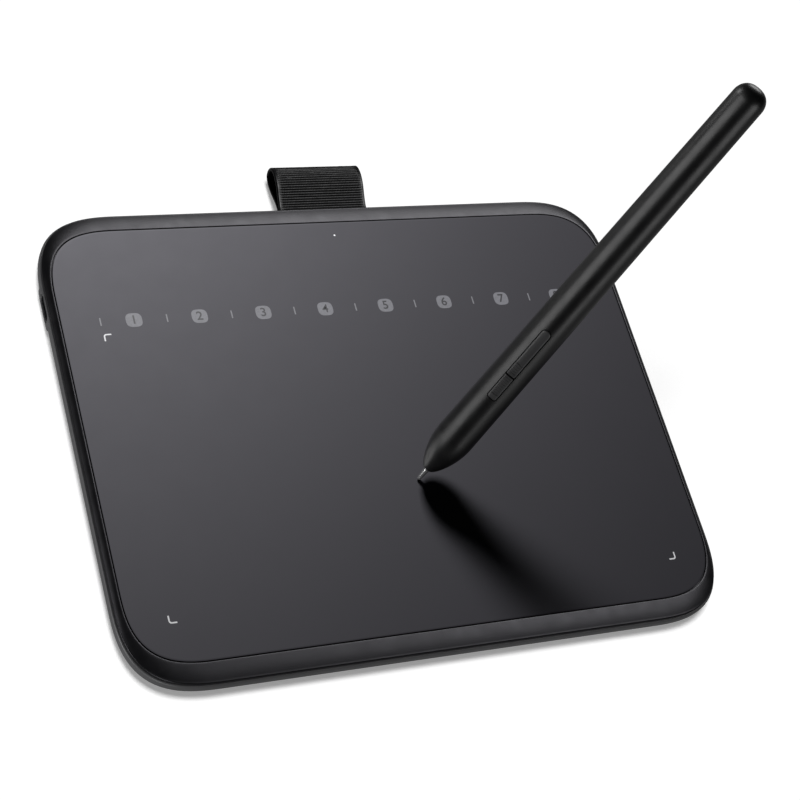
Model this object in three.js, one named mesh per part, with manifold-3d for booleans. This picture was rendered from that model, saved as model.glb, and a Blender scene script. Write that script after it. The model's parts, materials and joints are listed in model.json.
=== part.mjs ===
// Pen drawing tablet: a thin squircle slab with a drawing sheet, a webbing pen loop on its back edge,
// its electronics inside, and its pen standing with the nib just over the sheet.
// Millimetres, +Z up, +X to the user's right, +Y away from the user. z = 0 is the desk under the feet.

import * as THREE from "three";
import { mergeVertices } from "three/addons/utils/BufferGeometryUtils.js";
import Module from "manifold-3d";

const wasm = await Module();
wasm.setup();

// ---------- driving dimensions ----------

const GAP = 0.3; // between neighbouring pieces

const SHEET = { halfWidth: 93.2, halfDepth: 69.4, radius: 24, thickness: 0.5 };
const BEZEL = { side: 2.1, end: 6.2, radius: 28, edgeSize: 2.0, edgeDrop: 1.5 };
const RIM = { step: 0.6, shoulder: 0.8, underSize: 4.6, underHeight: 3.6, wall: 1.6, floor: 1.0 };

const FOOT_PROUD = 0.6;
const SURFACE_Z = 8.6; // top of the drawing sheet
const PARTING_Z = 6.7; // underside of the top cover

const PORT = { y: 46.2, z: 4.4, width: 8.94, height: 3.16, depth: 7.3, wall: 0.3, collarLength: 14.4 };
const LOOP = { width: 30, thickness: 1.0, reachY: 92, entryY: 70.5, windowBottom: 3.7 };
const LED_Y = 64.6;

const BOARD = { halfWidth: 84, frontY: -62, rearY: 45, thickness: 1.0 };
const CONTROL = { left: -91, right: 12, frontY: 48.5, rearY: 67, bottom: 3.2, thickness: 1.0 };

const PEN = {
  tip: [3.8, -22.2],
  length: 150.8,
  elevation: 56.3, // degrees above the desk
  azimuth: 35.2, // degrees from +X towards +Y
  roll: 188, // turns the side buttons to the upper side
  seam: 18.1,
  noseStart: 4.4,
  noseRadius: 1.35,
  gripRadius: 6.0,
  rearRadius: 5.0,
  bore: 4.3,
};
const NIB = { radius: 0.85, end: 28 };
const BUTTONS = { width: 2.95, front: [36.1, 44.7], rear: [45.1, 62.4], proud: 0.35 };

// ---------- derived dimensions ----------

const COVER = {
  halfWidth: SHEET.halfWidth + BEZEL.side,
  halfDepth: SHEET.halfDepth + BEZEL.end,
  radius: BEZEL.radius,
};
const SHELL = {
  halfWidth: COVER.halfWidth + RIM.step,
  halfDepth: COVER.halfDepth + RIM.step,
  radius: COVER.radius + RIM.step,
};
const SHELL_TOP = PARTING_Z - GAP;
const FLOOR_TOP = FOOT_PROUD + RIM.floor;
const POCKET_Z = SURFACE_Z - SHEET.thickness - GAP;
const BOARD_TOP = PARTING_Z - GAP - 0.1;
const BOARD_BOTTOM = BOARD_TOP - BOARD.thickness;
const SHIELD_TOP = BOARD_BOTTOM - GAP;
const SHIELD_BOTTOM = SHIELD_TOP - 0.3;
const CONTROL_TOP = CONTROL.bottom + CONTROL.thickness;
const FAR = 300; // larger than the whole tablet, for cutting tools

// ---------- materials ----------

const paint = (color, roughness, metalness = 0) =>
  new THREE.MeshStandardMaterial({ color, roughness, metalness });

const MATERIAL = {
  shell: paint(0x202024, 0.5),
  sheet: paint(0x48484d, 0.6),
  webbing: paint(0x151517, 0.9),
  rubber: paint(0x101010, 0.95),
  steel: paint(0x8d8f92, 0.35, 1),
  aluminium: paint(0xb4b6b8, 0.4, 1),
  copper: paint(0xb06a3a, 0.4, 1),
  board: paint(0x1c4a2c, 0.55),
  chip: paint(0x17171a, 0.5),
  connector: paint(0x1a1a1c, 0.6),
  flex: paint(0xc98a2c, 0.45),
  clear: paint(0xe8e8e8, 0.2),
  ferrite: paint(0x2a2826, 0.8),
  penBody: paint(0x161618, 0.42),
  penButton: paint(0x101012, 0.35),
  nib: paint(0x9a9a9c, 0.35),
};

// ---------- solids ----------

function solid(geometry) {
  const bare = geometry.clone();
  bare.deleteAttribute("normal");
  bare.deleteAttribute("uv");
  const merged = mergeVertices(bare, 1e-4);
  return new wasm.Manifold(
    new wasm.Mesh({
      numProp: 3,
      vertProperties: merged.attributes.position.array,
      triVerts: new Uint32Array(merged.index.array),
    }),
  );
}

function geometryOf(manifold) {
  const { numProp, numVert, vertProperties, triVerts } = manifold.getMesh();
  const positions = new Float32Array(numVert * 3);
  for (let i = 0; i < numVert; i += 1) {
    positions.set(vertProperties.subarray(i * numProp, i * numProp + 3), i * 3);
  }
  const geometry = new THREE.BufferGeometry();
  geometry.setAttribute("position", new THREE.BufferAttribute(positions, 3));
  geometry.setIndex(new THREE.BufferAttribute(new Uint32Array(triVerts), 1));
  geometry.computeVertexNormals();
  return geometry;
}

const cut = (base, ...tools) =>
  geometryOf(tools.reduce((left, tool) => left.subtract(solid(tool)), solid(base)));

const join = (base, ...others) =>
  geometryOf(others.reduce((whole, other) => whole.add(solid(other)), solid(base)));

const common = (a, b) => geometryOf(solid(a).intersect(solid(b)));

// Outline of a rectangle whose corners are superellipse quarters (exponent 3).
function squircle({ halfWidth, halfDepth, radius }, inset = 0, steps = 9) {
  const r = radius - inset;
  const corners = [[1, 1], [-1, 1], [-1, -1], [1, -1]];
  const points = corners.flatMap(([sx, sy], corner) =>
    Array.from({ length: steps + 1 }, (_, i) => {
      const angle = ((corner + i / steps) * Math.PI) / 2;
      const bulge = (value) => Math.sign(value) * Math.abs(value) ** (2 / 3);
      return new THREE.Vector2(
        sx * (halfWidth - radius) + r * bulge(Math.round(Math.cos(angle) * 1e9) / 1e9),
        sy * (halfDepth - radius) + r * bulge(Math.round(Math.sin(angle) * 1e9) / 1e9),
      );
    }),
  );
  return new THREE.Shape(points);
}

function roundedRectangle(width, depth, radius, x = 0, y = 0) {
  const [a, b] = [width / 2 - radius, depth / 2 - radius];
  const shape = new THREE.Shape();
  shape.absarc(x + a, y + b, radius, 0, Math.PI / 2);
  shape.absarc(x - a, y + b, radius, Math.PI / 2, Math.PI);
  shape.absarc(x - a, y - b, radius, Math.PI, 1.5 * Math.PI);
  shape.absarc(x + a, y - b, radius, 1.5 * Math.PI, 2 * Math.PI);
  shape.closePath();
  return shape;
}

// A straight-sided plate of the shape between two heights.
function plate(shape, bottom, top, curveSegments = 4) {
  const options = { depth: top - bottom, bevelEnabled: false, curveSegments };
  return new THREE.ExtrudeGeometry(shape, options).translate(0, 0, bottom);
}

// A plate whose top and bottom edges are rounded inwards by size over height.
function softPlate(shape, bottom, top, size, height, segments = 3) {
  const options = {
    depth: top - bottom - 2 * height,
    bevelSize: size,
    bevelOffset: -size,
    bevelThickness: height,
    bevelSegments: segments,
    curveSegments: 4,
  };
  return new THREE.ExtrudeGeometry(shape, options).translate(0, 0, bottom + height);
}

const block = (x0, x1, y0, y1, z0, z1) =>
  new THREE.BoxGeometry(x1 - x0, y1 - y0, z1 - z0).translate((x0 + x1) / 2, (y0 + y1) / 2, (z0 + z1) / 2);

const post = (x, y, radius, z0, z1, segments = 16) =>
  new THREE.CylinderGeometry(radius, radius, z1 - z0, segments)
    .rotateX(Math.PI / 2)
    .translate(x, y, (z0 + z1) / 2);

// A solid of revolution about Z from [radius, z] points, listed upwards on the outside.
const turned = (points, segments = 24) =>
  new THREE.LatheGeometry(points.map(([r, z]) => new THREE.Vector2(r, z)), segments).rotateX(Math.PI / 2);

function piece(name, geometry, material) {
  const mesh = new THREE.Mesh(geometry, material.clone());
  mesh.name = name;
  return mesh;
}

// ---------- fastener places ----------

const CASE_SCREWS = [
  [-70, -69.5], [0, -69.5], [70, -69.5],
  [-70, 70.3], [-30, 70.3], [30, 70.3], [70, 70.3],
];
const CLAMP_SCREWS = [[-18.5, LOOP.entryY], [18.5, LOOP.entryY]];
const BOARD_SCREWS = [[-79, -57], [79, -57], [-79, 34], [79, 34]];
const FEET = { left_front: [-68, -56], right_front: [68, -56], left_rear: [-68, 56], right_rear: [68, 56] };
const FOOT = { width: 30, depth: 9, recess: 0.5, height: 0.8 };

const CASE_SCREW = { head: 1.8, headZ: [0.8, 1.6], shank: 0.9, end: 5.6, seatZ: 1.9, padTop: 2.6 };
const CLAMP_SCREW = { head: 1.4, headZ: [2.0, 2.6], shank: 0.6, end: 6.0 };
const BOARD_SCREW = { head: 1.4, headZ: [3.8, SHIELD_BOTTOM - GAP], shank: 0.6, end: 7.1 };

const screw = ([x, y], { head, headZ, shank, end }) =>
  turned([[0, headZ[0]], [head, headZ[0]], [head, headZ[1]], [shank, headZ[1]], [shank, end], [0, end]], 14)
    .translate(x, y, 0);

// ---------- tablet: covers ----------

function topCover() {
  const slab = softPlate(squircle(COVER), 2, SURFACE_Z, BEZEL.edgeSize, BEZEL.edgeDrop);
  const body = cut(slab, block(-FAR, FAR, -FAR, FAR, -1, PARTING_Z));
  const pocket = { ...SHEET, halfWidth: SHEET.halfWidth + GAP, halfDepth: SHEET.halfDepth + GAP };
  const lipOuter = plate(squircle(SHELL, RIM.wall + GAP), SHELL_TOP - 0.9, PARTING_Z + 0.2);
  const lipInner = plate(squircle(SHELL, RIM.wall + GAP + 1), SHELL_TOP - 2, PARTING_Z + 1);
  const loopRoom = LOOP.width / 2 + 1;
  const lip = cut(
    cut(lipOuter, lipInner),
    block(-FAR, 0, PORT.y - 7, PORT.y + 7, 0, PARTING_Z + 1),
    block(-loopRoom, loopRoom, 0, FAR, 0, PARTING_Z + 1),
  );
  const lipParts = solid(lip).decompose().map(geometryOf);
  const bosses = [
    ...CASE_SCREWS.map(([x, y]) => post(x, y, 2.4, CASE_SCREW.padTop + GAP, PARTING_Z + 0.2)),
    ...CLAMP_SCREWS.map(([x, y]) => post(x, y, 1.7, CLAMP_SCREW.headZ[1] + 1.8, PARTING_Z + 0.2)),
  ];
  const screwHoles = [
    ...CASE_SCREWS.map(([x, y]) => post(x, y, 1.2, 0, CASE_SCREW.end + GAP)),
    ...CLAMP_SCREWS.map(([x, y]) => post(x, y, 0.9, 0, CLAMP_SCREW.end + GAP)),
    ...BOARD_SCREWS.map(([x, y]) => post(x, y, 0.9, 0, BOARD_SCREW.end + GAP)),
  ];
  return cut(
    join(body, ...lipParts, ...bosses),
    plate(squircle(pocket), POCKET_Z, SURFACE_Z + 1),
    post(0, LED_Y, 1.0, 0, SURFACE_Z + 1),
    ...screwHoles,
  );
}

function drawingSurface() {
  const sheet = plate(squircle(SHEET), SURFACE_Z - SHEET.thickness, SURFACE_Z);
  return cut(sheet, post(0, LED_Y, 0.9, 0, SURFACE_Z + 1));
}

function bottomCover() {
  const low = softPlate(squircle(SHELL), FOOT_PROUD, 20, RIM.underSize, RIM.underHeight, 4);
  const high = softPlate(squircle(SHELL), -6, SHELL_TOP, RIM.step, RIM.shoulder, 2);
  const collar = plate(
    roundedRectangle(SHELL.halfWidth, PORT.collarLength, 1.5, -SHELL.halfWidth / 2, PORT.y),
    SHELL_TOP - 4.4,
    SHELL_TOP - 0.2,
  );
  const cavity = softPlate(squircle(SHELL, RIM.wall), FLOOR_TOP, 20, 3.4, 2.4, 3);
  const pads = CASE_SCREWS.map(([x, y]) => post(x, y, 3.0, FLOOR_TOP - 0.2, CASE_SCREW.padTop));
  const ribs = [-50, 0, 50].map((x) => block(x - 0.5, x + 0.5, -58, 44, FLOOR_TOP - 0.2, FLOOR_TOP + 1.2));
  const crossRibs = [-30, 10].map((y) => block(-80, 80, y - 0.5, y + 0.5, FLOOR_TOP - 0.2, FLOOR_TOP + 1.2));
  const footRecesses = Object.values(FEET).map(([x, y]) =>
    plate(
      roundedRectangle(FOOT.width + 2 * GAP, FOOT.depth + 2 * GAP, 4.5, x, y),
      0,
      FOOT_PROUD + FOOT.recess,
    ),
  );
  const holes = CASE_SCREWS.flatMap(([x, y]) => [
    post(x, y, 2.2, 0, CASE_SCREW.seatZ),
    post(x, y, 1.2, 0, CASE_SCREW.padTop + 1),
  ]);
  const portWindow = plate(
    roundedRectangle(PORT.width + 0.5, PORT.height + 0.4, 1.6, 0, 0),
    -5,
    5,
  )
    .rotateX(Math.PI / 2)
    .rotateZ(Math.PI / 2)
    .translate(-SHELL.halfWidth + 1, PORT.y, PORT.z);
  const loopWindow = block(-LOOP.width / 2 - GAP, LOOP.width / 2 + GAP, 60, FAR, LOOP.windowBottom, SHELL_TOP + 1);
  const hollow = cut(join(common(low, high), collar), cavity);
  return cut(join(hollow, ...pads, ...ribs, ...crossRibs), ...footRecesses, ...holes, portWindow, loopWindow);
}

const foot = ([x, y]) =>
  softPlate(roundedRectangle(FOOT.width, FOOT.depth, 4.2, x, y), 0, FOOT.height, 0.25, 0.2, 1);

// ---------- tablet: pen loop ----------

// The strap's middle line in the YZ plane, from the upper layer's hidden end round to the lower one's.
function loopPath() {
  const half = LOOP.thickness / 2;
  const upper = SHELL_TOP - 0.1 - half;
  const lower = upper - LOOP.thickness - GAP;
  return new THREE.CatmullRomCurve3(
    [
      [LOOP.entryY - 2, upper],
      [LOOP.entryY + 2.5, upper],
      [77, upper + 0.2],
      [80.5, 7.2],
      [84.3, 8.7],
      [88, 9],
      [90.7, 7.9],
      [LOOP.reachY - half, 5.8],
      [90.9, 3.8],
      [89, 3.05],
      [86, 3.15],
      [82.6, 3.9],
      [79.2, lower + 0.15],
      [LOOP.entryY + 3.5, lower],
      [LOOP.entryY - 2, lower],
    ].map(([y, z]) => new THREE.Vector3(0, y, z)),
    false,
    "centripetal",
  );
}

function penLoop() {
  const [w, t] = [LOOP.width / 2, LOOP.thickness / 2];
  const section = new THREE.Shape([
    new THREE.Vector2(-w, -t),
    new THREE.Vector2(w, -t),
    new THREE.Vector2(w, t),
    new THREE.Vector2(-w, t),
  ]);
  return new THREE.ExtrudeGeometry(section, { steps: 34, extrudePath: loopPath() });
}

function loopClamp() {
  const [y0, y1] = [LOOP.entryY - 2, LOOP.entryY + 2.3];
  const bar = block(-21, 21, y0, y1, 2.7, 3.7);
  const feet = CLAMP_SCREWS.map(([x, y]) => post(x, y, 1.9, 2.9, CLAMP_SCREW.headZ[1] + 1.5));
  const holes = CLAMP_SCREWS.map(([x, y]) => post(x, y, 0.9, 0, 9));
  return cut(join(bar, ...feet), ...holes);
}

// ---------- tablet: electronics ----------

function sensorBoard() {
  const { halfWidth, frontY, rearY } = BOARD;
  const shape = roundedRectangle(2 * halfWidth, rearY - frontY, 3, 0, (frontY + rearY) / 2);
  return cut(plate(shape, BOARD_BOTTOM, BOARD_TOP), ...BOARD_SCREWS.map(([x, y]) => post(x, y, 1.0, 0, 9)));
}

function shieldPlate() {
  const { halfWidth, frontY } = BOARD;
  const rearY = BOARD.rearY - 7;
  const shape = roundedRectangle(2 * halfWidth - 2, rearY - frontY - 1, 2, 0, (frontY + rearY) / 2);
  return cut(plate(shape, SHIELD_BOTTOM, SHIELD_TOP), ...BOARD_SCREWS.map(([x, y]) => post(x, y, 1.0, 0, 9)));
}

function controlBoard() {
  const { left, right, frontY, rearY, bottom } = CONTROL;
  const legEnd = left + 5;
  const shape = new THREE.Shape(
    [[left, 37], [legEnd, 37], [legEnd, frontY], [right, frontY], [right, rearY], [-60, rearY], [-66, 62], [left + 6, 56],
     [left, 52]].map(([x, y]) => new THREE.Vector2(x, y)),
  );
  const halfNotch = PORT.width / 2 + GAP;
  const notch = block(-FAR, -SHELL.halfWidth + PORT.depth + 0.5, PORT.y - halfNotch, PORT.y + halfNotch, 0, 9);
  return cut(plate(shape, bottom, CONTROL_TOP), notch);
}

function usbShell() {
  const shape = roundedRectangle(PORT.width, PORT.height, PORT.height / 2 - 0.02);
  const mouth = roundedRectangle(PORT.width - 2 * PORT.wall, PORT.height - 2 * PORT.wall, 1.26);
  return cut(plate(shape, 0, PORT.depth), plate(mouth, -1, PORT.depth - 0.3))
    .rotateX(Math.PI / 2)
    .rotateZ(Math.PI / 2)
    .translate(-SHELL.halfWidth + 0.2, PORT.y, PORT.z);
}

function usbTongue() {
  const mouthX = -SHELL.halfWidth + 0.2;
  const blade = block(mouthX + 0.7, mouthX + 6, PORT.y - 3.3, PORT.y + 3.3, PORT.z - 0.35, PORT.z + 0.35);
  const back = block(mouthX + 5, mouthX + 6.7, PORT.y - 3.6, PORT.y + 3.6, PORT.z - 0.9, PORT.z + 0.9);
  return join(blade, back);
}

const CABLE_X = -30;

// A flat cable that steps up from the sensor board's connector to the control board's.
function flexCable() {
  const path = new THREE.CatmullRomCurve3(
    [[44.1, 4.4], [45.5, 4.4], [48, 4.95], [49.5, 5.05]].map(([y, z]) => new THREE.Vector3(CABLE_X, y, z)),
  );
  const section = new THREE.Shape(
    [[-9, -0.1], [9, -0.1], [9, 0.1], [-9, 0.1]].map(([x, y]) => new THREE.Vector2(x, y)),
  );
  return new THREE.ExtrudeGeometry(section, { steps: 8, extrudePath: path });
}

const lightPipe = () =>
  turned([[0, 5.4], [1.4, 5.4], [1.4, 6.2], [0.6, 6.2], [0.6, SURFACE_Z], [0, SURFACE_Z]], 16)
    .translate(0, LED_Y, 0);

function tabletPieces() {
  const onBoard = (x0, x1, y0, y1, height) =>
    block(x0, x1, y0, y1, CONTROL_TOP + GAP, CONTROL_TOP + GAP + height);
  return [
    piece("top_cover", topCover(), MATERIAL.shell),
    piece("drawing_surface", drawingSurface(), MATERIAL.sheet),
    piece("bottom_cover", bottomCover(), MATERIAL.shell),
    piece("pen_loop", penLoop(), MATERIAL.webbing),
    piece("loop_clamp", loopClamp(), MATERIAL.connector),
    piece("sensor_board", sensorBoard(), MATERIAL.board),
    piece("shield_plate", shieldPlate(), MATERIAL.aluminium),
    piece("control_board", controlBoard(), MATERIAL.board),
    piece("sensor_connector", block(CABLE_X - 10, CABLE_X + 10, 39.6, 43.8, 3.9, 5.0), MATERIAL.connector),
    piece("control_connector", onBoard(CABLE_X - 10, CABLE_X + 10, 49.8, 54, 1.1), MATERIAL.connector),
    piece("flex_cable", flexCable(), MATERIAL.flex),
    piece("controller_chip", onBoard(-64, -57, 50.5, 57.5, 0.9), MATERIAL.chip),
    piece("analog_chip", onBoard(-12, -7, 52, 57, 0.9), MATERIAL.chip),
    piece("crystal", onBoard(-53, -49.8, 52, 54.5, 0.8), MATERIAL.aluminium),
    piece("usb_shell", usbShell(), MATERIAL.steel),
    piece("usb_tongue", usbTongue(), MATERIAL.connector),
    piece("status_led", onBoard(-0.8, 0.8, LED_Y - 0.4, LED_Y + 0.4, 0.6), MATERIAL.clear),
    piece("light_pipe", lightPipe(), MATERIAL.clear),
    ...Object.entries(FEET).map(([side, place]) => piece("foot_" + side, foot(place), MATERIAL.rubber)),
    ...CASE_SCREWS.map((place, i) => piece("case_screw_" + (i + 1), screw(place, CASE_SCREW), MATERIAL.steel)),
    ...CLAMP_SCREWS.map((place, i) => piece("clamp_screw_" + (i + 1), screw(place, CLAMP_SCREW), MATERIAL.steel)),
    ...BOARD_SCREWS.map((place, i) => piece("board_screw_" + (i + 1), screw(place, BOARD_SCREW), MATERIAL.steel)),
  ];
}

// ---------- pen, along its own +Z from the nib's tip, with the side buttons towards its +X ----------

// The barrel tapers evenly from the seam to the start of its round end.
const DOME = 4.6;
const barrelRadius = (t) =>
  THREE.MathUtils.mapLinear(t, PEN.seam, PEN.length - DOME, PEN.gripRadius, PEN.rearRadius);

const arcPoints = (count, make) => Array.from({ length: count + 1 }, (_, i) => make(i / count));

function penBarrel() {
  const start = PEN.seam + GAP;
  const domeBase = PEN.length - DOME;
  const dome = arcPoints(6, (s) => [
    PEN.rearRadius * Math.cos((s * Math.PI) / 2) ** 0.8,
    domeBase + DOME * Math.sin((s * Math.PI) / 2),
  ]);
  dome[6][0] = 0;
  const outside = turned([[0, start], [barrelRadius(start), start], ...dome], 32);
  const inside = turned(
    [[0, 10], [PEN.bore + 0.5, 10], [PEN.bore + 0.5, 25], [PEN.bore, 25], [PEN.bore - 0.5, domeBase], [0, domeBase]],
    32,
  );
  const halfSlot = BUTTONS.width / 2 + GAP;
  const [slotStart, slotEnd] = [BUTTONS.front[0] - GAP, BUTTONS.rear[1] + GAP];
  return cut(outside, inside, block(1, 9, -halfSlot, halfSlot, slotStart, slotEnd));
}

function noseCone() {
  const outside = arcPoints(7, (s) => [
    PEN.noseRadius + (PEN.gripRadius - PEN.noseRadius) * Math.sin((s * Math.PI) / 2) ** 0.7,
    PEN.noseStart + (PEN.seam - PEN.noseStart) * s,
  ]);
  const spigot = PEN.bore + 0.5 - GAP;
  const nibHole = NIB.radius + 0.25;
  return turned(
    [
      [nibHole, PEN.noseStart],
      ...outside,
      [spigot, PEN.seam],
      [spigot, PEN.seam + 5.6],
      [3.5, PEN.seam + 5.6],
      [3.5, 11.5],
      [nibHole, 8.5],
      [nibHole, PEN.noseStart],
    ],
    32,
  );
}

const nib = () =>
  turned(
    [
      [0, 0], [0.3, 0.07], [0.5, 0.25], [0.6, 0.6], [NIB.radius, 3.8],
      [NIB.radius, NIB.end], [0, NIB.end],
    ],
    16,
  );

const ring = (inner, outer, t0, t1, segments = 20) =>
  turned([[inner, t0], [outer, t0], [outer, t1], [inner, t1], [inner, t0]], segments);

const nibHolder = () =>
  turned([[1.15, 25.5], [2.0, 25.5], [2.0, 30.8], [0, 30.8], [0, 28.4], [1.15, 28.4], [1.15, 25.5]], 20);

// An open trough under the board, closed round the pressure sensor's end.
function penCarrier() {
  const tube = ring(3.1, 3.8, 37, 112, 24);
  return cut(tube, block(-0.9, 9, -9, 9, 30, 120));
}

const penBoard = () => block(-0.6, 0.2, -2.6, 2.6, 38, 104);

const BUTTON_FLANGE = { top: 3.25, bottom: 2.75, legEnd: 2.5 };

function button([start, end], legAt) {
  const half = BUTTONS.width / 2;
  const middle = (start + end) / 2;
  const skin = post(0, 0, barrelRadius(middle) + BUTTONS.proud, start - 1, end + 1, 32);
  const cap = common(skin, block(BUTTON_FLANGE.bottom, 9, -half, half, start, end));
  const flange = block(BUTTON_FLANGE.bottom, BUTTON_FLANGE.top, -half - 0.45, half + 0.45, start, end);
  const leg = block(BUTTON_FLANGE.legEnd, 3, -0.8, 0.8, legAt - 1.2, legAt + 1.2);
  return join(cap, flange, leg);
}

function tactSwitch(at) {
  const can = block(0.5, 1.6, -1.5, 1.5, at - 1.6, at + 1.6);
  const stem = new THREE.CylinderGeometry(0.7, 0.7, 0.6, 12).rotateZ(Math.PI / 2).translate(1.8, 0, at);
  return join(can, stem);
}

const SWITCH_AT = { front: 41, rear: 53 };

const penPieces = () => [
  piece("pen_barrel", penBarrel(), MATERIAL.penBody),
  piece("nose_cone", noseCone(), MATERIAL.penBody),
  piece("nib", nib(), MATERIAL.nib),
  piece("nib_holder", nibHolder(), MATERIAL.connector),
  piece("ferrite_core", ring(1.15, 2.1, 12, 24.6), MATERIAL.ferrite),
  piece("antenna_coil", ring(2.4, 3.1, 13.5, 23), MATERIAL.copper),
  piece("pressure_sensor", turned([[0, 31.8], [2.9, 31.8], [2.9, 35.7], [0, 35.7]], 20), MATERIAL.connector),
  piece("pen_carrier", penCarrier(), MATERIAL.connector),
  piece("pen_board", penBoard(), MATERIAL.board),
  piece("switch_front", tactSwitch(SWITCH_AT.front), MATERIAL.steel),
  piece("switch_rear", tactSwitch(SWITCH_AT.rear), MATERIAL.steel),
  piece("button_front", button(BUTTONS.front, SWITCH_AT.front), MATERIAL.penButton),
  piece("button_rear", button(BUTTONS.rear, SWITCH_AT.rear), MATERIAL.penButton),
];

// ---------- assembly ----------

const rolledPen = new THREE.Group();
rolledPen.rotation.z = THREE.MathUtils.degToRad(PEN.roll);
rolledPen.add(...penPieces());

const pen = new THREE.Group();
pen.position.set(...PEN.tip, SURFACE_Z + GAP);
pen.rotation.set(
  0,
  THREE.MathUtils.degToRad(90 - PEN.elevation),
  THREE.MathUtils.degToRad(PEN.azimuth),
  "ZYX",
);
pen.add(rolledPen);

// The origin lies on the desk under the middle of the bounding box, which the loop makes longer at the back.
const tablet = new THREE.Group();
tablet.position.y = -(LOOP.reachY - SHELL.halfDepth) / 2;
tablet.add(...tabletPieces(), pen);

const group = new THREE.Group();
group.add(tablet);

export default group;
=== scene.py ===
"""Looks of the pen drawing tablet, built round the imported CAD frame.

Sizes in the code are millimetres in the row frame unless a name says otherwise, and every place comes from
the boxes of the CAD nodes. Meshes are written in metres.
"""

import json
import math

import bmesh
import bpy
import numpy as np
from mathutils import Matrix, Vector


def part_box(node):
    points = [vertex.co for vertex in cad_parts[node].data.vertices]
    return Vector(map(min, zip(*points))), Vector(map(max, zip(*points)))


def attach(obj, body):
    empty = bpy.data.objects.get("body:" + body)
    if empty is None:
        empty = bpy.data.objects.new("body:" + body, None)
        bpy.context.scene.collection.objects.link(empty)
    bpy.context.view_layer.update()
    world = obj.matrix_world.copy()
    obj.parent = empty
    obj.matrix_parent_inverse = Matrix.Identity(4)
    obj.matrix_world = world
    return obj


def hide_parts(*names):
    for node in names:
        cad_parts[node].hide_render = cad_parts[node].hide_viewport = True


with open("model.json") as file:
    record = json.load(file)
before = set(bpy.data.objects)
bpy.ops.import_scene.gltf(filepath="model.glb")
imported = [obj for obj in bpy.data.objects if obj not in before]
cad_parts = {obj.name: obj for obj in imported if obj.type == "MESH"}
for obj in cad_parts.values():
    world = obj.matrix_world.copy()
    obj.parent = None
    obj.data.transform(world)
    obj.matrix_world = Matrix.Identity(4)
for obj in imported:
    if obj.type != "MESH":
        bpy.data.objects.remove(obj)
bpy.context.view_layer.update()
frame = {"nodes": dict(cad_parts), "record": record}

MM = 0.001
QUARTER = math.pi / 2
TABLET = "tablet"
PEN = "pen"


# ------------------------ places taken from the frame


def box_mm(node):
    low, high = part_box(node)
    return np.array(low) / MM, np.array(high) / MM


def middle_mm(node):
    low, high = box_mm(node)
    return (low + high) / 2


SHEET_LOW, SHEET_HIGH = box_mm("drawing_surface")
COVER_LOW, COVER_HIGH = box_mm("top_cover")
SHELL_LOW, SHELL_HIGH = box_mm("bottom_cover")
LOOP_LOW, LOOP_HIGH = box_mm("pen_loop")
PORT_LOW, PORT_HIGH = box_mm("usb_shell")

CENTRE = (SHEET_LOW + SHEET_HIGH) / 2
SHEET_TRIM = np.array([0.3, 0.0])
SHEET_HALF = (SHEET_HIGH - SHEET_LOW)[:2] / 2 - SHEET_TRIM
COVER_HALF = (COVER_HIGH - COVER_LOW)[:2] / 2
SHELL_HALF = (SHELL_HIGH - SHELL_LOW)[:2] / 2
SURFACE_Z = SHEET_HIGH[2]
SHELL_TOP = SHELL_HIGH[2]
SHELL_BOTTOM = SHELL_LOW[2]
PARTING_GAP = 0.08
PARTING_Z = SHELL_TOP + PARTING_GAP

SHEET_RADIUS = 24.0
COVER_RADIUS = 28.0
SHELL_RADIUS = 28.6
CORNER_POWER = 3.0
SIGNS = ((1, 1), (-1, 1), (-1, -1), (1, -1))


# ------------------------ mesh helpers


def squircle(half_x, half_y, radius, inset=0.0, corner_steps=30, side_steps=8):
    """An anticlockwise outline about the sheet's centre, with superellipse quarters as its corners."""
    r = radius - inset
    phi = np.linspace(0, QUARTER, corner_steps + 1)
    reach = (np.cos(phi) ** CORNER_POWER + np.sin(phi) ** CORNER_POWER) ** (-1 / CORNER_POWER)
    points = []
    for corner, (sx, sy) in enumerate(SIGNS):
        turn = phi + corner * QUARTER
        arc = np.stack([np.cos(turn) * reach, np.sin(turn) * reach], axis=1) * r
        arc += np.array([sx * (half_x - radius), sy * (half_y - radius)])
        if points:
            points.append(straight(points[-1][-1], arc[0], side_steps))
        points.append(arc)
    points.append(straight(points[-1][-1], points[0][0], side_steps))
    return np.concatenate(points) + CENTRE[:2]


def straight(start, end, steps):
    """The points between start and end, without the two themselves."""
    return start + (end - start) * np.linspace(0, 1, steps + 1)[1:-1, None]


def at_height(outline, z):
    return np.column_stack([outline, np.full(len(outline), float(z))])


def add_object(name, data):
    item = bpy.data.objects.new(name, data)
    bpy.context.scene.collection.objects.link(item)
    return item


def mesh_object(name, verts_mm, faces):
    mesh = bpy.data.meshes.new(name)
    mesh.from_pydata((np.asarray(verts_mm) * MM).tolist(), [], faces)
    mesh.validate()
    mesh.update()
    return add_object(name, mesh)


def tidy_normals(piece, merge_mm=0.0):
    """Merges doubled points and turns all faces outwards."""
    bm = bmesh.new()
    bm.from_mesh(piece.data)
    if merge_mm:
        bmesh.ops.remove_doubles(bm, verts=bm.verts, dist=merge_mm * MM)
    bmesh.ops.recalc_face_normals(bm, faces=bm.faces)
    bm.to_mesh(piece.data)
    bm.free()


def loft(name, rings, loop=False, caps=True, merge_mm=0.0):
    """A skin through rings of equally many points, capped at its ends or, as a loop, joined end to end."""
    count = len(rings[0])
    verts = np.concatenate(rings)
    faces = []
    for i in range(len(rings) if loop else len(rings) - 1):
        a, b = i * count, ((i + 1) % len(rings)) * count
        for j in range(count):
            k = (j + 1) % count
            faces.append((a + j, a + k, b + k, b + j))
    if caps and not loop:
        faces.append(tuple(range(count))[::-1])
        faces.append(tuple(range((len(rings) - 1) * count, len(rings) * count)))
    piece = mesh_object(name, verts, faces)
    tidy_normals(piece, merge_mm)
    return piece


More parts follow.
